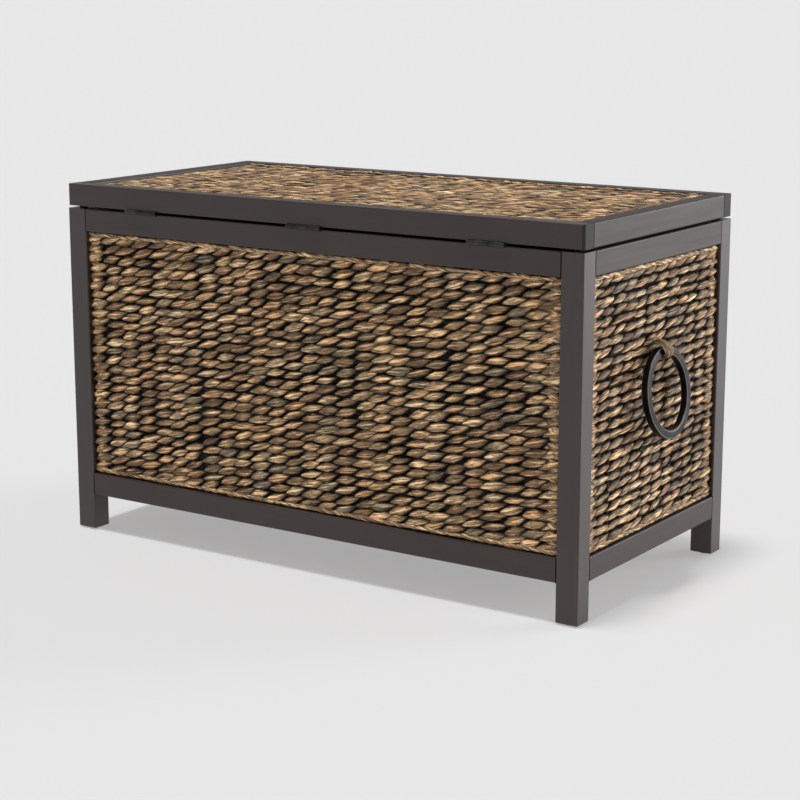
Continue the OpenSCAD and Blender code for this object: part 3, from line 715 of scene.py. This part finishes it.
def fibre_loop(side_name, material):
    """Turns of twisted strand that hold a ring handle, and a few loose ends over the weave."""
    joint = JOINTS[f"ring_{side_name}_swing"]
    pivot = Vector(joint["pos_m"])
    outward = math.copysign(1.0, pivot.x)
    # One turn as (outwards, up) from the pivot, in mm: in over the ring and back below it.
    turn = [(-9, 12), (-3, 11.6), (4, 9.6), (8.6, 4.6), (9.6, -1), (7.6, -6.4), (3, -9.4),
            (-3, -10.4), (-9, -10.8)]
    strands, spread, lean = 7, 9.0, 0.5  # how many, half the width, and sideways for each mm up
    steps, turn_sides, end_sides = 4, 8, 7
    draw = random.Random(11)
    solid = Solid()
    for k in range(strands):
        across = spread * (2 * k / (strands - 1) - 1)
        stops = []
        for out, up in turn:
            sway = -outward * lean * up
            grow = 1 + draw.uniform(0.0, 0.07)
            stops.append(pivot + MM * Vector((outward * out * grow,
                                              across + sway + draw.uniform(-0.5, 0.5), up * grow)))
        solid.cord(smooth_path(stops, steps), draw.uniform(1.5, 1.9) * MM, turn_sides, 3.0 + 5 * k)
    # A loose end as (outwards, along the panel, up) from the pivot, in mm. Each of the four
    # stands out by a little more or less, and is shorter and higher than the one before.
    loose = [(0, 0, 10.5), (-4, 9, 14.5), (-6.5, 20, 15.5), (-7.5, 31, 13.5), (-10.5, 40, 12)]
    for k, proud in enumerate((0.0, 1.2, 0.4, 1.6)):
        drift = draw.uniform(-3, 3)
        stops = []
        for out, along, up in loose:
            aside = along * (1 - 0.12 * k) - 4 + 2.2 * k
            rise = up + 1.9 * k * along / 40 + drift * along / 60
            stops.append(pivot + MM * Vector((outward * (out + proud), -outward * aside, rise)))
        solid.cord(smooth_path(stops, steps), draw.uniform(1.1, 1.5) * MM, end_sides, 40.0 + 3 * k)
    name = f"fibre_loop_{side_name}"
    new_piece(name, solid.mesh(name, material), "box", "fibre_loop", f"ring_loop_{side_name}")


def joint_lines(material):
    """Thin near-black strips of painted shade where the rails butt against the posts and the lid rails
    meet.
    """
    half, proud, deep = 0.7 * MM, 0.03 * MM, 0.8 * MM  # half the width, and past and behind the face
    box_lines, lid_lines = Solid(), Solid()

    def line(solid, low, high, outer_axis):
        """A thin block on the joint plane, just proud of the face it marks."""
        low, high = Vector(low), Vector(high)
        for axis in range(3):
            if high[axis] == low[axis] and axis != outer_axis:
                low[axis] -= half
                high[axis] += half
        face = low[outer_axis]
        below, above = (deep, proud) if face > 0 else (proud, deep)
        low[outer_axis], high[outer_axis] = face - below, face + above
        solid.block(low, high)

    post_low, post_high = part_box("post_back_right")
    for level in ("top", "bottom"):
        rail_low, rail_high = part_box(f"{level}_rail_back")
        for sx in (-1, 1):
            for sy in (-1, 1):
                x, y = sx * post_low.x, sy * post_high.y
                line(box_lines, (x, y, rail_low.z), (x, y, rail_high.z), 1)
                x, y = sx * post_high.x, sy * post_low.y
                line(box_lines, (x, y, rail_low.z), (x, y, rail_high.z), 0)
    end_low, end_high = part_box("lid_rail_right")
    for sx in (-1, 1):
        for sy in (-1, 1):
            y = sy * end_high.y
            line(lid_lines, (sx * end_high.x, y, end_low.z), (sx * end_high.x, y, end_high.z), 0)
            near, far = sorted((sx * end_low.x, sx * end_high.x))
            # Each strip is painted shade along a joint groove.
            line(lid_lines, (near, y, end_high.z), (far, y, end_high.z), 2)
    new_piece("joint_lines_box", box_lines.mesh("joint_lines_box", material), "box", "frame_timber")
    new_piece("joint_lines_lid", lid_lines.mesh("joint_lines_lid", material), "lid", "frame_timber")


# ---- Staging ----

def floor_and_light():
    """Pale floor, soft light from all round and above, and the camera."""
    half = 150.0  # so far that its edge lies on the horizon
    mesh = bpy.data.meshes.new("floor")
    mesh.from_pydata([(-half, -half, 0), (half, -half, 0), (half, half, 0), (-half, half, 0)],
                     [], [(0, 1, 2, 3)])
    floor = bpy.data.objects.new("floor", mesh)
    scene.collection.objects.link(floor)
    material, _, shader = surface("pale_floor", roughness=0.9, specular=0.0)
    shader.inputs["Base Color"].default_value = (0.40, 0.40, 0.40, 1)
    shader.inputs["Emission Color"].default_value = (1, 1, 1, 1)
    shader.inputs["Emission Strength"].default_value = 0.36
    mesh.materials.append(material)

    world = bpy.data.worlds.new("studio")
    world.use_nodes = True
    tree = world.node_tree
    direction = node(tree, "ShaderNodeTexCoord").outputs["Generated"]
    height = node(tree, "ShaderNodeSeparateXYZ", {"Vector": direction}).outputs["Z"]
    # Pale near the horizon, as the floor is, and dim above.
    sky = ramp(tree, height, [(0.0, grey(0.82)), (0.07, grey(0.80)), (0.24, grey(0.25)),
                              (1.0, grey(0.22))])
    put(tree, tree.nodes["Background"].inputs["Color"], sky)
    scene.world = world

    def soft_sun(name, heading, climb, spread, power):
        """A broad, even light from a compass heading and a height, all in degrees."""
        light = bpy.data.lights.new(name, "SUN")
        light.angle = math.radians(spread)
        light.energy = power
        lamp = bpy.data.objects.new(name, light)
        turn, rise = math.radians(heading), math.radians(climb)
        source = Vector((math.cos(turn) * math.cos(rise), math.sin(turn) * math.cos(rise),
                         math.sin(rise)))
        lamp.rotation_euler = source.to_track_quat("Z", "Y").to_euler()
        scene.collection.objects.link(lamp)

    soft_sun("overhead", 60.0, 83.0, 12.0, 2.35)
    soft_sun("side_panel", 232.0, 8.0, 32.0, 2.5)

    lens = bpy.data.cameras.new("camera")
    lens.lens = 90.3
    lens.sensor_width = 36.0
    camera = bpy.data.objects.new("camera", lens)
    camera.location = (-1.577, 2.317, 0.812)
    aim = Vector((-0.0142, 0.0026, 0.2074))
    camera.rotation_euler = (aim - camera.location).to_track_quat("-Z", "Y").to_euler()
    scene.collection.objects.link(camera)
    scene.camera = camera
    scene.view_settings.view_transform = "Standard"


# ---- The trunk ----

floor_and_light()

timber = {"x": espresso_timber("espresso_along_x", 0, 0.34, 0.58, 0.25),
          "y": espresso_timber("espresso_along_y", 1, 0.44, 0.62, 0.10),
          "z": espresso_timber("espresso_along_z", 2, 0.30, 0.48, 0.45)}
fibre = woven_fibre()
core = dark_core()
hinge_metal = hinge_bronze()
ring_metal = {side: ring_iron(side) for side in ("left", "right")}
steel = bright_steel()
raw_timber = plain_timber("planed_timber", (0.62, 0.45, 0.27), (0.42, 0.28, 0.15))
# The stakes show only through the gaps in the weave, so they are painted near-black as painted shade.
rattan = plain_timber("rattan_painted_shade", (0.030, 0.021, 0.014), (0.010, 0.007, 0.005), 0.8, 2, 0.1)
board = plain_timber("stained_board", (0.060, 0.042, 0.036), (0.034, 0.024, 0.021), 0.5)
nylon = soft_black("moulded_nylon", 0.03, 300.0)
felt = soft_black("pressed_felt", 0.025, 900.0)


def finish_of(name):
    """The material of a carried-over CAD node."""
    if name.startswith("post"):
        return timber["z"]
    if name.endswith(("rail_left", "rail_right")):
        return timber["y"]
    if "rail" in name:
        return timber["x"]
    if name.startswith("ring_handle"):
        return ring_metal[name.rsplit("_", 1)[1]]
    if name.startswith("hinge"):
        return hinge_metal
    if name.startswith("stay") or name == "cleat_screws":
        return steel
    if "stakes" in name:
        return rattan
    if "board" in name:
        return board
    if name == "foot_glides":
        return nylon
    if name == "lid_bumpers":
        return felt
    return raw_timber


for name, carried in frame["nodes"].items():
    carried.data.materials.clear()
    carried.data.materials.append(finish_of(name))

cell = strand_cell()
weave = weave_tree(fibre, core)
for seed, name in zip((3, 10, 17, 24, 31), FACING):
    woven_panel(name, weave, cell, seed, "lid" if name.startswith("lid") else "box")
bpy.data.objects.remove(cell)
for side in ("left", "right"):
    fibre_loop(side, fibre)
joint_lines(joint_shadow())
